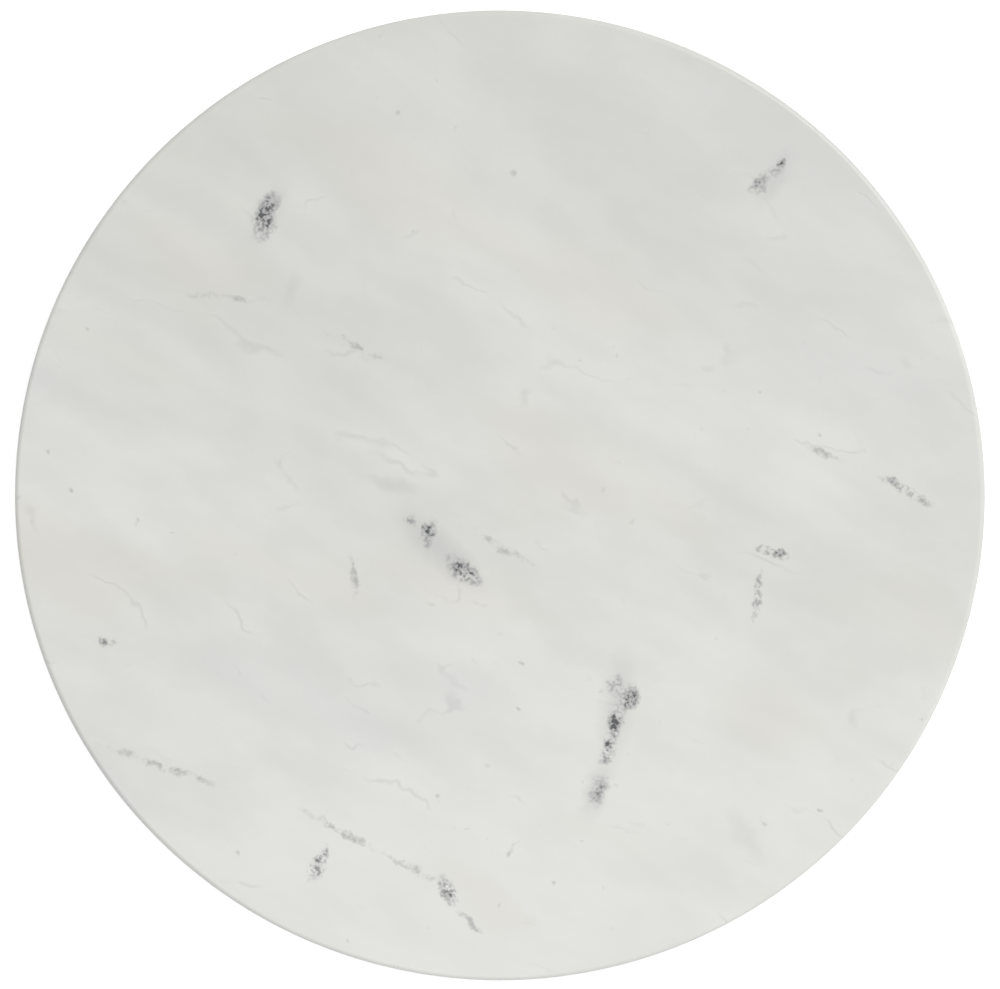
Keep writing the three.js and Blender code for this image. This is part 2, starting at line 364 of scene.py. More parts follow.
# The slab's main marks, chosen to give it the look of one particular piece of stone. Each has the
# (x, y) of one end, the (x, y) of the other, a width and a strength. Everything finer comes from noise.
PATCHES = [  # grey, with grains of dark crystal in them
    (-98, 109, -94, 121, 12, 1.1), (-38, -10, -36, -11, 6, 0.7), (-28, -12, -30, -19, 7, 1.1),
    (-20, -28, -10, -35, 10, 1.1), (47, -76, 48, -80, 8, 0.8), (54, -81, 50, -88, 11, 0.95),
    (48, -90, 47, -98, 8, 1.1), (46, -102, 44, -108, 8, 1.1), (42, -119, 39, -125, 10, 0.7),
    (113, 133, 117, 139, 6, 1), (105, 127, 109, 131, 8, 0.7), (-72, -146, -77, -157, 7, 1),
    (-23, -159, -19, -167, 7, 0.9), (107, -22, 119, -25, 5, 0.8), (107, -31, 105, -52, 5, 0.8),
    (-163, -60, -161, -61, 6, 0.9), (157, 8, 177, -4, 5, 0.75),
]
FINE_VEINS = [
    (-134, 83, -94, 80, 4, 0.7), (-74, 68, -46, 55, 4, 0.8), (-11, -14, 15, -30, 5, 0.7),
    (-168, -102, -110, -121, 4, 0.75), (-84, -128, -50, -147, 4, 0.8), (-50, -147, -22, -160, 4, 0.75),
    (-18, -169, -8, -181, 4, 0.9), (-62, -25, -59, -45, 4, 0.8), (124, 21, 141, 14, 4, 0.8),
]
SOFT_HAZE = [
    (-100, 106, -92, 126, 17, 0.5), (-115, 150, -98, 130, 40, 0.3), (-88, 80, -84, 90, 8, 0.4),
    (-40, -8, -9, -36, 19, 0.6), (107, 120, 119, 142, 13, 0.45), (51, -66, 45, -110, 18, 0.5),
    (-54, 7, -35, 2, 9, 0.5), (95, -132, 107, -149, 12, 0.35), (43, -112, 36, -130, 14, 0.5),
]
MARK_DEPTH = 4  # how far the main marks go down into the stone
BEDDING_ANGLE = math.radians(28)  # the stone's layers run down to the right by this much
BEDDING_STRETCH = (0.42, 1, 1)
PAINTED_LIGHT_SLOPE_X = 0.0002  # painted light: how the stone's tone is made to change across the slab, for each millimetre, as the light falls
PAINTED_LIGHT_SLOPE_Y = -0.0021


def dome(x1, y1, x2, y2, width, strength):
    """A mark as a low dome over an ellipse from one point to another. These are its height's factors of
    1, x, y, x squared, y squared and x times y."""
    x, y = (x1 + x2) / 2, (y1 + y2) / 2
    across = width / 2
    along = math.hypot(x2 - x1, y2 - y1) / 2 + across
    angle = math.atan2(y2 - y1, x2 - x1)
    c, s = math.cos(angle), math.sin(angle)
    xx = (c / along) ** 2 + (s / across) ** 2
    yy = (s / along) ** 2 + (c / across) ** 2
    xy = 2 * c * s * (along ** -2 - across ** -2)
    middle = 1 - xx * x * x - yy * y * y - xy * x * y
    factors = (middle, 2 * xx * x + xy * y, 2 * yy * y + xy * x, -xx, -yy, -xy)
    return [strength * factor for factor in factors]


def highest_dome(paint, position, marks):
    """The height of the highest of the marks' domes at a position. It takes three domes at a time, one in
    each component of a vector."""
    x, y, _ = paint.split(position)
    products = [paint.math("MULTIPLY", a, b) for a, b in ((x, x), (y, y), (x, y))]
    terms = [paint.add("CombineXYZ", {0: term, 1: term, 2: term}).outputs[0] for term in (x, y, *products)]
    highest = (0, 0, 0)
    for first in range(0, len(marks), 3):
        factors = [dome(*mark) for mark in (marks[first:first + 3] * 3)[:3]]
        height, *rest = zip(*factors)
        for term, factor in zip(terms, rest):
            height = paint.vector("MULTIPLY_ADD", term, factor, height)
        highest = paint.vector("MAXIMUM", height, highest)
    a, b, c = paint.split(highest)
    return paint.math("MAXIMUM", paint.math("MAXIMUM", a, b), c)


def stone_tone(paint, clouds, wisps):
    """Greenish white, changing slowly across the slab as painted light, with clouds, wisps and faint warm and
    cool stains.
    """
    x, y, _ = paint.split(paint.at)
    # Painted light: the slopes make the stone lighter and darker across the slab, as the light falls on it.
    shade = paint.math("MULTIPLY_ADD", x, PAINTED_LIGHT_SLOPE_X, paint.math("MULTIPLY", y, PAINTED_LIGHT_SLOPE_Y))
    shade = paint.math("ADD", shade, paint.ramp(clouds[0], 0.3, 0.7, -0.2, 0.2))
    shade = paint.math("ADD", shade, paint.ramp(wisps, 0.25, 0.75, -0.12, 0.12))
    colour = paint.mix(paint.ramp(shade, -1, 1), rgb(206, 207, 202), rgb(229, 230, 226))
    colour = paint.mix(paint.ramp(clouds[1], 0.56, 0.7, 0, 0.28), colour, rgb(217, 211, 203))
    return paint.mix(paint.ramp(clouds[1], 0.44, 0.3, 0, 0.22), colour, rgb(208, 208, 213))


def marble():
    """Pale stone with soft clouds, faint veins and patches of grey crystal."""
    paint = Paint("honed_marble", sockets={"Specular IOR Level": 0.45})
    waves = paint.noise(6, 1, output="Color")
    ripples = paint.noise(1.4, 1, output="Color")
    middle = (0.5, 0.5, 0.5)
    wavy = paint.vector("MULTIPLY_ADD", paint.vector("SUBTRACT", waves, middle), (5, 5, 5), paint.at)
    bent = paint.vector("MULTIPLY_ADD", paint.vector("SUBTRACT", ripples, middle), (2, 2, 0), wavy)
    turn = {"Vector": wavy, "Angle": BEDDING_ANGLE}
    turned = paint.add("VectorRotate", turn, rotation_type="Z_AXIS").outputs[0]
    bedding = paint.vector("MULTIPLY", turned, BEDDING_STRETCH)
    clouds = paint.split(paint.noise(50, 2, at=bedding, output="Color"))
    wisps = paint.noise(13, 2, at=bedding)
    colour = stone_tone(paint, clouds, wisps)

    height = paint.split(paint.at)[2]
    skin = paint.ramp(height, marble_high.z - MARK_DEPTH, marble_high.z - MARK_DEPTH / 2)
    patch, vein, haze = [
        paint.math("MULTIPLY", highest_dome(paint, position, marks), skin)
        for position, marks in ((bent, PATCHES), (bent, FINE_VEINS), (wavy, SOFT_HAZE))
    ]
    lumps = paint.split(waves)[2]
    grains = paint.split(ripples)[2]
    coarse = paint.ramp(lumps, 0.3, 0.7, 0.1, 1)
    density = paint.math("MULTIPLY", patch, paint.math("ADD", coarse, paint.ramp(grains, 0.3, 0.7, 0, 0.9)))
    line = paint.math("MULTIPLY", vein, paint.math("ADD", coarse, paint.ramp(grains, 0.3, 0.7, -0.2, 0.3)))

    # Faint veins follow the edges between the clouds, here and there, and rare specks dot the stone.
    seam = paint.ramp(paint.math("ABSOLUTE", paint.math("SUBTRACT", clouds[2], 0.5)), 0.012, 0, 0, 0.2)
    seam = paint.math("MULTIPLY", seam, paint.ramp(wisps, 0.52, 0.68))
    speck = paint.math("MULTIPLY", paint.ramp(lumps, 0.72, 0.82, 0, 0.5), paint.ramp(clouds[0], 0.52, 0.62))

    colour = paint.mix(paint.ramp(haze, 0, 1, 0, 0.75), colour, rgb(188, 188, 189))
    colour = paint.mix(paint.math("MAXIMUM", seam, speck), colour, rgb(160, 161, 162))
    colour = paint.mix(paint.ramp(line, 0, 1, 0, 0.6), colour, rgb(150, 150, 151))
    colour = paint.mix(paint.ramp(density, 0, 1.1, 0, 0.75), colour, rgb(148, 149, 151))
    colour = paint.mix(paint.ramp(density, 0.78, 1.45, 0, 0.88), colour, rgb(70, 71, 73))

    # Honed with wax: even, with faint wiping smears.
    grain = paint.noise(0.9, 0)
    smears = paint.noise(30, 2, at=paint.vector("MULTIPLY", paint.at, (1, 2.5, 1)))
    waxed = paint.ramp(smears, 0.3, 0.7, 0.3, 0.38)
    roughness = paint.math("ADD", waxed, paint.ramp(density, 0.6, 1.2, 0, 0.08))
    return paint.finish(colour, roughness, paint.ramp(grain, 0.2, 0.8), 0.004)


# ---- Other materials ----

STAVE = 37  # width of the boards that the base is glued up from
STAVE_OFFSET = 11


def wood():
    """Oiled acacia boards, glued side by side and running along X."""
    oil = {"Coat Weight": 0.25, "Coat Roughness": 0.25, "Specular IOR Level": 0.4}
    paint = Paint("oiled_wood", sockets=oil)
    row = paint.math("DIVIDE", paint.math("ADD", paint.split(paint.at)["Y"], STAVE_OFFSET), STAVE)
    board = paint.math("FLOOR", row)
    chance = paint.add("TexWhiteNoise", {"W": board}, noise_dimensions="1D").outputs
    shift = paint.vector("SCALE", chance["Color"], Scale=900)
    inside = paint.vector("ADD", paint.at, shift)

    wander = paint.noise(60, 2, at=paint.vector("MULTIPLY", inside, (0.35, 1, 1)), output="Color")
    stretched = paint.vector("MULTIPLY", inside, (0.035, 1, 1))
    rings_at = paint.vector("MULTIPLY_ADD", wander, (0, 26, 26), stretched)
    rings = paint.noise(6.5, 3, at=rings_at)
    streaks = paint.noise(1.1, 3, at=paint.vector("MULTIPLY", inside, (0.03, 1, 1)))
    pores = paint.noise(0.5, 1, at=paint.vector("MULTIPLY", inside, (0.07, 1, 1)))
    pore = paint.ramp(pores, 0.64, 0.72)

    colour = paint.mix(paint.ramp(rings, 0.3, 0.7), rgb(112, 70, 38), rgb(178, 124, 74))
    colour = paint.mix(paint.ramp(streaks, 0.35, 0.7, 0, 0.5), colour, rgb(138, 86, 48))
    colour = paint.mix(paint.ramp(chance["Value"], 0, 1, 0, 0.45), colour, rgb(98, 58, 32))
    colour = paint.mix(paint.math("MULTIPLY", pore, 0.65), colour, rgb(62, 36, 22))
    edge = paint.math("ABSOLUTE", paint.math("SUBTRACT", paint.math("FRACT", row), 0.5))
    glue = paint.ramp(edge, 0.4955, 0.498, 0, 0.6)
    colour = paint.mix(glue, colour, rgb(58, 36, 22))
    edge_wear = paint.ramp(paint.math("ADD", paint.from_axis(), paint.noise(6, 3)), 128.6, 130.6, 0, 0.25)
    colour = paint.mix(edge_wear, colour, rgb(196, 150, 102))

    roughness = paint.math("ADD", paint.ramp(rings, 0.2, 0.8, 0.42, 0.54), paint.math("MULTIPLY", pore, 0.2))
    height = paint.math("SUBTRACT", paint.ramp(streaks, 0.3, 0.7, 0, 0.35), pore)
    height = paint.math("SUBTRACT", height, glue)
    return paint.finish(colour, roughness, height, 0.06)


def plated_steel(name, low, high, polished=None):
    """Zinc-plated sheet: fine rolling lines, a blue-yellow bloom, and a bright track where balls run."""
    paint = Paint(name, metallic=1)
    bloom = paint.noise(22, 4, distortion=1)
    lines = paint.noise(0.8, 2, at=paint.vector("MULTIPLY", paint.at, (0.04, 1, 1)))
    spots = paint.noise(2.4, 4)
    colour = paint.mix(paint.ramp(bloom, 0.3, 0.7), rgb(172, 180, 188), rgb(196, 194, 184))
    colour = paint.mix(paint.ramp(lines, 0.3, 0.7, 0, 0.25), colour, rgb(150, 154, 158))
    stain = paint.ramp(spots, 0.6, 0.74, 0, 0.5)
    colour = paint.mix(stain, colour, rgb(128, 130, 130))
    plating = paint.ramp(bloom, 0.2, 0.8, low, high)
    roughness = paint.math("ADD", plating, paint.ramp(lines, 0.3, 0.7, 0, 0.08))
    roughness = paint.math("ADD", roughness, paint.math("MULTIPLY", stain, 0.25))
    if polished:
        off_track = paint.math("ABSOLUTE", paint.math("SUBTRACT", paint.from_axis(), polished))
        track = paint.ramp(off_track, 1.3, 0.7)
        colour = paint.mix(track, colour, rgb(214, 216, 218))
        roughness = paint.math("MULTIPLY", roughness, paint.ramp(off_track, 0.7, 1.3, 0.4, 1))
    height = paint.math("ADD", paint.ramp(lines, 0.2, 0.8, 0, 0.3), paint.ramp(spots, 0.3, 0.8))
    return paint.finish(colour, roughness, height, 0.01)


def screw_steel():
    """Bright screw steel, duller and darker with painted shade in the hollows of the thread and in the
    recess.
    """
    paint = Paint("screw_steel", metallic=1)
    bloom = paint.noise(3, 4)
    scratches = paint.noise(0.3, 2, at=paint.vector("MULTIPLY", paint.at, (1, 0.15, 1)))
    # Painted shade: the steel is darkened near the axis, in the hollows of the thread and in the recess.
    recess_shade = paint.ramp(paint.from_axis(), 1.9, 1.4, 0, 0.55)
    recess_shade = paint.math("MULTIPLY", recess_shade, paint.ramp(bloom, 0.25, 0.6))
    colour = paint.mix(paint.ramp(bloom, 0.3, 0.7), rgb(168, 171, 174), rgb(192, 190, 182))
    colour = paint.mix(recess_shade, colour, rgb(92, 90, 86))
    roughness = paint.math("ADD", paint.ramp(bloom, 0.2, 0.8, 0.24, 0.38), paint.math("MULTIPLY", recess_shade, 0.3))
    return paint.finish(colour, roughness, paint.ramp(scratches, 0.3, 0.8), 0.008)


def ball_steel():
    """Polished steel under a thin, uneven film of grease."""
    paint = Paint("ball_steel", metallic=1)
    film = paint.noise(1.8, 4, distortion=1.5)
    scuffs = paint.noise(0.25, 2, at=paint.vector("MULTIPLY", paint.at, (0.2, 1, 1)))
    grease = paint.ramp(film, 0.42, 0.66)
    colour = paint.mix(grease, rgb(214, 216, 218), rgb(196, 184, 150))
    scuffed = paint.ramp(scuffs, 0.5, 0.8, 0.08, 0.2)
    roughness = paint.math("ADD", scuffed, paint.math("MULTIPLY", grease, 0.18))
    return paint.finish(colour, roughness, paint.math("ADD", grease, scuffs), 0.006)


def nylon():
    """Cream moulded nylon, cloudier and darker with grease round the ball pockets."""
    paint = Paint("nylon", sockets={"Subsurface Weight": 0.15, "Subsurface Scale": MM})
    flow = paint.noise(14, 3, distortion=2)
    specks = paint.noise(0.6, 2)
    off_track = paint.math("ABSOLUTE", paint.math("SUBTRACT", paint.from_axis(), RACE_RADIUS))
    grease = paint.math("MULTIPLY", paint.ramp(off_track, 3.6, 1.5), paint.ramp(paint.noise(4, 3), 0.35, 0.7))
    colour = paint.mix(paint.ramp(flow, 0.3, 0.7), rgb(226, 220, 202), rgb(238, 233, 218))
    colour = paint.mix(paint.math("MULTIPLY", grease, 0.5), colour, rgb(188, 172, 132))
    matt = paint.ramp(flow, 0.2, 0.8, 0.5, 0.62)
    roughness = paint.math("SUBTRACT", matt, paint.math("MULTIPLY", grease, 0.2))
    return paint.finish(colour, roughness, paint.ramp(specks, 0.2, 0.8), 0.02)


def brass():
    """Turned brass with brown tarnish in its low places."""
    paint = Paint("brass", metallic=1)
    cloud = paint.noise(3.5, 4)
    turning = paint.noise(0.25, 1, at=paint.vector("MULTIPLY", paint.at, (0.1, 0.1, 1)))
    low = paint.ramp(paint.from_axis(), 3.95, 3.65, 0, 0.6)
    tarnish = paint.math("MULTIPLY", low, paint.ramp(cloud, 0.2, 0.6))
    colour = paint.mix(paint.ramp(cloud, 0.3, 0.7), rgb(196, 160, 88), rgb(176, 138, 74))
    colour = paint.mix(tarnish, colour, rgb(112, 78, 42))
    turned = paint.ramp(cloud, 0.2, 0.8, 0.26, 0.4)
    roughness = paint.math("ADD", turned, paint.math("MULTIPLY", tarnish, 0.25))
    return paint.finish(colour, roughness, paint.ramp(turning, 0.3, 0.7), 0.012)


def rubber():
    """Black rubber with a dusty bloom, scuffed pale where it stands on the table."""
    paint = Paint("black_rubber", sockets={"Specular IOR Level": 0.35})
    dust = paint.noise(2.2, 5)
    pits = paint.noise(0.35, 2)
    height = paint.split(paint.at)["Z"]
    scuff = paint.math("MULTIPLY", paint.ramp(height, 0.5, 0.05), paint.ramp(dust, 0.35, 0.65))
    colour = paint.mix(paint.ramp(dust, 0.35, 0.75), rgb(27, 27, 28), rgb(50, 49, 48))
    colour = paint.mix(paint.math("MULTIPLY", scuff, 0.5), colour, rgb(84, 82, 79))
    roughness = paint.ramp(dust, 0.2, 0.8, 0.68, 0.86)
    return paint.finish(colour, roughness, paint.ramp(pits, 0.2, 0.8), 0.03)


# ---- Marble slab and wooden base ----

def hand_rubbed(angle):
    """How the slab's ease widens and narrows round the rim, as a share of itself."""
    return 1 + 0.09 * math.sin(2 * angle + 0.6) + 0.07 * math.sin(5 * angle + 2) + 0.05 * math.sin(13 * angle)


def eased_edge(bm, radius, low, high, low_ease, high_ease, segments, steps, uneven=None):
    """The edge of a round slab. It returns the rings round its two flat faces."""
    rings = wall(bm, circle(0, 0, radius, segments), rounded(low, high, low_ease, high_ease, 1, steps))
    if uneven:
        for vertex in bm.verts:
            if vertex.co.z > high - high_ease * 1.001:
                angle = math.atan2(vertex.co.y, vertex.co.x)
                share = uneven(angle)
                new_radius = radius - (radius - vertex.co.xy.length) * share
                vertex.co.x = new_radius * math.cos(angle)
                vertex.co.y = new_radius * math.sin(angle)
                vertex.co.z = high - (high - vertex.co.z) * share
    return rings


def marble_slab():
    bm = bmesh.new()
    under, upper = eased_edge(
        bm, marble_high.x, marble_low.z, marble_high.z, MARBLE_BOTTOM_EASE, MARBLE_TOP_EASE,
        384, 8, hand_rubbed,
    )
    cap(bm, upper)
    floor = marble_low.z + INSERT["length"] + CLEARANCE
    radius = INSERT["outer"] + CLEARANCE
    holes = [blind_hole(bm, x, y, radius, marble_low.z, floor, 0.4) for x, y in places(INSERTS)]
    fill(bm, under, *holes)
    return to_mesh(bm, "marble_slab")


def wooden_disc():
    bm = bmesh.new()
    low, high = base_low.z, base_high.z
    under, upper = eased_edge(bm, base_high.x, low, high, BASE_EASE, BASE_EASE, 240, 6)
    screw_circle = Vector(places(BASE_SCREWS)[0]).length
    access = wall(bm, circle(screw_circle, 0, ACCESS_HOLE, 64), rounded(low, high, 0.8, 0.8, -1))
    plate_floor = high + SHEET - BASE_SCREW["length"] - CLEARANCE
    plate_radius = BASE_SCREW["shank"] + CLEARANCE
    plate_holes = [blind_hole(bm, x, y, plate_radius, high, plate_floor, 0.2) for x, y in places(BASE_SCREWS)]
    foot_floor = FOOT_SCREW_SEAT + FOOT_SCREW["length"] + CLEARANCE
    foot_radius = FOOT_SCREW["shank"] + CLEARANCE
    foot_holes = [blind_hole(bm, x, y, foot_radius, low, foot_floor, 0.2) for x, y in places(FOOT_SCREWS)]
    fill(bm, under, access[0], *foot_holes)
    fill(bm, upper, access[1], *plate_holes)
    return to_mesh(bm, "wooden_disc")


# ---- Bearing ----

def bend(x, y, radius, start, end, steps=8):
    """The sheet's middle along an arc: points, each with the way its upper side faces."""
    side = 1 if end > start else -1
    facing = [(side * nx, side * ny) for nx, ny in arc(0, 0, 1, start, end, steps)]
    return list(zip(arc(x, y, radius, start, end, steps), facing))


def race_path():
    """The race's wave in the middle of the sheet, from the flat inwards, over both ridges."""
    bend_radius = GROOVE_RADIUS + SHEET / 2
    bend_height = SHEET + GROOVE_RADIUS
    slope = math.radians(RACE_SLOPE)
    run = (bend_radius + RIDGE_BEND) * math.sin(slope)
    ridge_height = bend_height - (bend_radius + RIDGE_BEND) * math.cos(slope)
    path = bend(RACE_RADIUS + 2 * run, bend_height, bend_radius, -90, -90 - RACE_SLOPE)
    path += bend(RACE_RADIUS + run, ridge_height, RIDGE_BEND, 90 - RACE_SLOPE, 90 + RACE_SLOPE)[1:]
    path += bend(RACE_RADIUS, bend_height, bend_radius, RACE_SLOPE - 90, -90 - RACE_SLOPE, 14)[1:]
    path += bend(RACE_RADIUS - run, ridge_height, RIDGE_BEND, 90 - RACE_SLOPE, 90)[1:]
    return path, ridge_height + RIDGE_BEND


def lower_path():
    """On from the race: the collar, rolled outwards at its top."""
    path, level = race_path()
    middle = COLLAR_RADIUS + COLLAR_BEND
    path += bend(middle, level + COLLAR_BEND, COLLAR_BEND, -90, -180)
    path += bend(middle, COLLAR_HEIGHT - COLLAR_BEND, COLLAR_BEND, 180, 90)
    return path + [((COLLAR_RADIUS + COLLAR_REACH - SHEET_EDGE, COLLAR_HEIGHT), (0, -1))]


def upper_path():
    """On from the race: the step up to the lip that the collar holds."""
    path, level = race_path()
    lip = LIP_EDGE_RADIUS + LIP_WIDTH
    climb = math.atan2(LIP_HEIGHT - level, LIP_RISE_RUN)
    setback = LIP_BEND * math.tan(climb / 2)
    climb = math.degrees(climb)
    path += bend(lip + LIP_RISE_RUN + setback, level + LIP_BEND, LIP_BEND, -90, -90 - climb)
    path += bend(lip - setback, LIP_HEIGHT - LIP_BEND, LIP_BEND, 90 - climb, 90)
    return path + [((LIP_EDGE_RADIUS + SHEET_EDGE, LIP_HEIGHT), (0, 1))]


def sheet_profile(path):
    """The section of the bent sheet: along its underside, round the cut edge, and back along its top."""
    def side(sign):
        return [(x + sign * nx * SHEET / 2, y + sign * ny * SHEET / 2) for (x, y), (nx, ny) in path]

    (x, y), (nx, ny) = path[-1]
    flat = SHEET / 2 - SHEET_EDGE
    tip = [(x - SHEET_EDGE * ny + s * flat * nx, y + SHEET_EDGE * nx + s * flat * ny) for s in (-1, 1)]
    return side(-1) + tip + side(1)[::-1]


def pressed_plate(name, path):
    bm = bmesh.new()
    rings = lathe(bm, sheet_profile(path), 180)
    outside_edge = rounded(0, SHEET, SHEET_EDGE, SHEET_EDGE, 1, 3)
    outside = wall(bm, rounded_square(PLATE_SIDE, PLATE_CORNER), outside_edge)
    hole_edge = rounded(0, SHEET, 0.15, SHEET_EDGE, -1, 3)
    holes = [wall(bm, circle(x, y, PLATE_HOLE, 40), hole_edge) for x, y in places(BASE_SCREWS)]
    fill(bm, outside[0], rings[0], *[hole[0] for hole in holes])
    fill(bm, outside[1], rings[-1], *[hole[1] for hole in holes])
    return to_mesh(bm, name, 40)


def cage_ring():
    """A moulded ring with a raised rim round each ball's pocket."""
    bm = bmesh.new()
    low, high = cage_low.z, cage_high.z
    half = cage_high.x - RACE_RADIUS
    rim = 0.45
    raised = 0.3
    outside = wall(bm, circle(0, 0, RACE_RADIUS + half, 288), rounded(low, high, 0.3, 0.3, 1, 4))
    inside = wall(bm, circle(0, 0, RACE_RADIUS - half, 288), rounded(low, high, 0.3, 0.3, -1, 4))
    profile = [(rim + 0.1, low), (rim, low - raised)]
    profile += rounded(low - raised, high + raised, 0.12, 0.12, -1, 3)
    profile += [(rim, high + raised), (rim + 0.1, high)]
    pockets = [wall(bm, circle(x, y, POCKET_RADIUS, 40), profile) for x, y in places(BALLS)]
    fill(bm, outside[0], inside[0], *[pocket[0] for pocket in pockets])
    fill(bm, outside[1], inside[1], *[pocket[1] for pocket in pockets])
    return to_mesh(bm, "cage_ring", 40)


def ball():
    """An even sphere, made by swelling a finely divided cube."""
    bm = bmesh.new()
    bmesh.ops.create_cube(bm, size=2)
    bmesh.ops.subdivide_edges(bm, edges=bm.edges, cuts=11, use_grid_fill=True)
    for vertex in bm.verts:
        vertex.co = vertex.co.normalized() * BALL_RADIUS
    return to_mesh(bm, "ball")


# ---- Fasteners and feet ----

ROWS_PER_PITCH = 8


def thread(z, pitch):
    """How far a right-hand thread stands out at each angle, from 0 at its root to 1 at its crest."""
    return lambda angle: max(0, 1 - 1.7 * abs(2 * ((z / pitch - angle / TURN) % 1) - 1))


def screw(name, head, height, shank, length, taper, tip, pitch, depth):
    """A pan-head screw: its seat is at z = 0, its head above and its threaded shank below."""
    def shank_radius(z):
        share = tip + (1 - tip) * min(1, (z + length) / taper)
        rise = thread(z, pitch)
        return lambda angle: share * (shank - depth * (1 - rise(angle)))

    rows = round(length / pitch * ROWS_PER_PITCH)
    heights = [-length + (length - 0.4) * i / rows for i in range(rows + 1)]
    crown = [(head * (0.55 + 0.45 * c), height * (0.42 + 0.5 * s)) for c, s in arc(0, 0, 1, 0, 90, 8)]
    profile = [(0, -length)] + [(shank_radius(z), z) for z in heights]
    profile += [(shank - depth, -0.3), (shank, 0), (head - 0.2, 0), (head, 0.2)] + crown + [(0, height)]
    bm = bmesh.new()
    lathe(bm, profile, 40)
    body = to_mesh(bm, name)
    return cut(body, cross_recess(height))


def cross_recess(height):
    """The shape of a cross-head driver's tip, standing in the head."""
    def cross(span, width):
        quarter = [(span, -width), (span, width), (width, width)]
        turns = [(1, 0), (0, 1), (-1, 0), (0, -1)]
        return [(x * c - y * s, x * s + y * c) for c, s in turns for x, y in quarter]

    levels = [(2.25, 0.52, 0.6), (1.85, 0.46, 0), (0.85, 0.34, -1.15), (0.4, 0.2, -1.45)]
    bm = bmesh.new()
    rings = [[bm.verts.new((x, y, height + z)) for x, y in cross(span, width)] for span, width, z in levels]
    stack(bm, rings)
    bm.faces.new(rings[0])
    bm.faces.new(rings[-1])
    return to_mesh(bm, "recess_cutter")


def insert():
    """A turned brass insert: knurled outside, with two bands cut plain, and threaded inside."""
    outer, inner, length = INSERT["outer"], INSERT["inner"], INSERT["length"]

    def knurled(z):
        plain = abs(z - length * 0.36) < 0.5 or abs(z - length * 0.68) < 0.5
        return lambda angle: outer - (0.45 if plain else 0.3 * abs(math.sin(24 * angle)))

    def threaded(z):
        rise = thread(z, TOP_SCREW["pitch"])
        return lambda angle: inner - 0.15 + 0.3 * rise(angle)

    outside = [(knurled(z), z) for z in (0.5 + (length - 1) * i / 36 for i in range(37))]
    inside_rows = round((length - 1) / TOP_SCREW["pitch"] * ROWS_PER_PITCH)
    levels = [length - 0.5 - (length - 1) * i / inside_rows for i in range(inside_rows + 1)]
    inside = [(threaded(z), z) for z in levels]
    profile = [(inner + 0.3, 0), (outer - 0.4, 0)] + outside
    profile += [(outer - 0.4, length), (inner + 0.3, length)] + inside
    bm = bmesh.new()
    rings = lathe(bm, profile, 144)
    bridge(bm, rings[-1], rings[0])
    return to_mesh(bm, "insert", 45)


def ring_section(inner, outer, low, high, edge, steps=4):
    """The closed section of a flat ring with rounded edges."""
    corners = [(outer - edge, low + edge), (outer - edge, high - edge)]
    corners += [(inner + edge, high - edge), (inner + edge, low + edge)]
    points = []
    for i, (x, y) in enumerate(corners):
        points += arc(x, y, edge, 90 * i - 90, 90 * i, steps)
    return points


def washer():
    bm = bmesh.new()
    rings = lathe(bm, ring_section(WASHER["inner"], WASHER["outer"], 0, WASHER["thickness"], 0.18), 72)
    bridge(bm, rings[-1], rings[0])
    return to_mesh(bm, "washer")


def foot():
    """A moulded bumper: a recess for the screw's head, gripping ridges below, and soft edges all round."""
    bottom, top, height = FOOT["bottom"], FOOT["top"], FOOT["height"]
    hole, recess, depth = FOOT["hole"], FOOT["recess"], FOOT["recess_depth"]
    profile = [(hole, depth + 0.2), (hole + 0.2, depth), (recess, depth)]
    profile += arc(recess + 0.4, 0.4, 0.4, 180, 270, 4)
    for groove in (6.2, 7, 7.8):
        profile += [(groove - 0.2, 0), (groove - 0.1, 0.25), (groove + 0.1, 0.25), (groove + 0.2, 0)]
    profile += arc(bottom - 0.65, 0.7, 0.7, -90, -10, 5)
    parting = height * 0.62
    lean = (top - bottom) / height
    profile += [(bottom + lean * parting, parting - 0.12), (bottom + lean * parting + 0.08, parting)]
    profile += [(bottom + lean * parting, parting + 0.12)]
    profile += arc(top - 0.3, height - 0.3, 0.3, 0, 90, 4) + [(hole, height)]
    bm = bmesh.new()
    rings = lathe(bm, profile, 96)
    bridge(bm, rings[-1], rings[0])
    return to_mesh(bm, "foot")


# ---- Assembly ----

zinc = plated_steel("zinc_sheet", 0.3, 0.42, RACE_RADIUS)
washer_zinc = plated_steel("zinc_washer", 0.28, 0.4)
bright_screw = screw_steel()
UPSIDE_DOWN = (math.pi, 0, 0)

place("wooden_base", wooden_disc(), wood(), "base")
place(
    "lower_bearing_plate", pressed_plate("lower_plate", lower_path()), zinc, "base",
    (0, 0, BASE_TOP),
)
place("ball_cage", cage_ring(), nylon(), "ball_ring")
place("marble_top", marble_slab(), marble(), "turntable")
place(
    "upper_bearing_plate", pressed_plate("upper_plate", upper_path()), zinc, "turntable",
    (0, 0, MARBLE_UNDERSIDE), (math.pi, 0, math.pi / 4),
)

BALL_LEVEL = (cage_low.z + cage_high.z) / 2
UPRIGHT = (0, 0, 0)
TURN_BETWEEN = 1.1  # how much further each repeated piece is turned than the one before it

base_screw = screw("base_screw", **BASE_SCREW)
foot_screw = screw("foot_screw", **FOOT_SCREW)
top_screw = screw("top_screw", **TOP_SCREW)

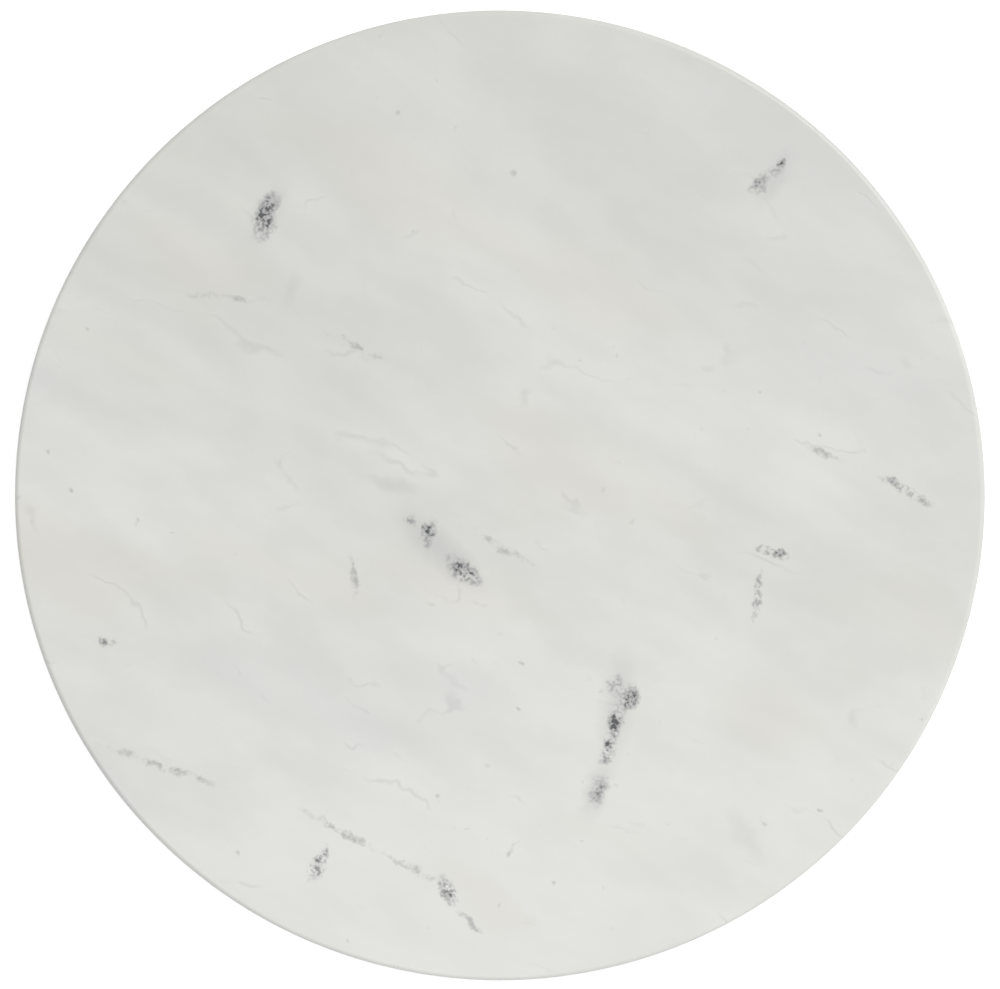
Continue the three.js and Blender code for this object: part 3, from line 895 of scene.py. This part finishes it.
REPEATED = [
    (BALLS, ball(), ball_steel(), "ball_steel", "ball_ring", BALL_LEVEL, UPRIGHT),
    (BASE_SCREWS, base_screw, bright_screw, "screw_steel", "base", BASE_TOP + SHEET, (0, 0, 0.4)),
    (FOOT_SCREWS, foot_screw, bright_screw, "screw_steel", "base", FOOT_SCREW_SEAT, UPSIDE_DOWN),
    (WASHERS, washer(), washer_zinc, "washer_steel", "base", FOOT_SCREW_SEAT, UPRIGHT),
    (FEET, foot(), rubber(), "rubber", "base", 0, UPRIGHT),
    (INSERTS, insert(), brass(), "brass", "turntable", MARBLE_UNDERSIDE, UPRIGHT),
    (TOP_SCREWS, top_screw, bright_screw, "screw_steel", "turntable", MARBLE_UNDERSIDE - SHEET, UPSIDE_DOWN),
]
for nodes, mesh, paint, slot, body, level, turn in REPEATED:
    for number, (node, (x, y)) in enumerate(zip(nodes, places(nodes))):
        own_turn = (turn[0], turn[1], turn[2] + TURN_BETWEEN * number)
        place(node, mesh, paint, body, (x, y, level), own_turn)


# ---- Floor and light ----

FLOOR_RADIUS = 8000
SHADOW_CORE = 120  # the painted shadow under the slab is full out to here, and ends at its edge
SHADOW_EDGE = 203


def floor():
    """A pale floor with painted light that glows like a light table, turned down under the slab as a painted
    shadow.
    """
    bm = bmesh.new()
    lathe(bm, [(0, 0), (150, 0), (400, 0), (1500, 0), (FLOOR_RADIUS, 0)], 96)
    mesh = to_mesh(bm, "floor")
    paint = Paint("pale_floor")
    dapple = paint.ramp(paint.noise(400, 3), 0.2, 0.8)
    colour = paint.mix(dapple, rgb(243, 243, 243), rgb(246, 246, 246))
    # Painted light: the floor glows, and less under the slab, which paints a shadow there.
    glow = paint.ramp(paint.from_axis(), SHADOW_CORE, SHADOW_EDGE, 0.05, 0.52)
    paint.shader.inputs["Emission Color"].default_value = (1, 1, 1, 1)
    paint.tree.links.new(glow, paint.shader.inputs["Emission Strength"])
    mesh.materials.append(paint.finish(colour, paint.ramp(dapple, 0, 1, 0.7, 0.75)))
    obj = bpy.data.objects.new("floor", mesh)
    obj.visible_diffuse = False
    obj.visible_shadow = False
    bpy.context.scene.collection.objects.link(obj)


def sky():
    """A white horizon, and above it a room that is brighter on the key light's side."""
    world = bpy.data.worlds.new("studio")
    world.use_nodes = True
    graph = Graph(world.node_tree)
    direction = graph.add("TexCoord", {}).outputs["Generated"]
    facing = graph.vector("DOT_PRODUCT", direction, (0.62, 0.08, -0.1))
    height = graph.split(direction)["Z"]
    walls = graph.ramp(facing, -0.7, 0.6, 0.5, 0.9)
    room = graph.math("MULTIPLY", walls, graph.ramp(height, -0.1, 0.05, 0.35, 1))
    horizon = graph.ramp(graph.math("ABSOLUTE", height), 0.1, 0.04)
    strength = graph.math("MAXIMUM", room, horizon)
    graph.tree.links.new(strength, graph.tree.nodes["Background"].inputs["Strength"])
    graph.tree.nodes["Background"].inputs["Color"].default_value = (1, 1, 1, 1)
    bpy.context.scene.world = world


def soft_light(name, at, size, power, colour):
    """A square light that looks at the middle of the slab and isn't seen itself."""
    data = bpy.data.lights.new(name, "AREA")
    data.size = size
    data.energy = power
    data.color = colour
    obj = bpy.data.objects.new(name, data)
    obj.location = at
    obj.rotation_euler = (-Vector(at)).to_track_quat("-Z", "Y").to_euler()
    obj.visible_camera = False
    bpy.context.scene.collection.objects.link(obj)


floor()
sky()
soft_light("key", (3, 2.8, 4.5), 2.4, 125, (1, 0.985, 0.955))
soft_light("fill", (-0.9, -3, 5.7), 3.5, 38, (0.985, 0.99, 1))
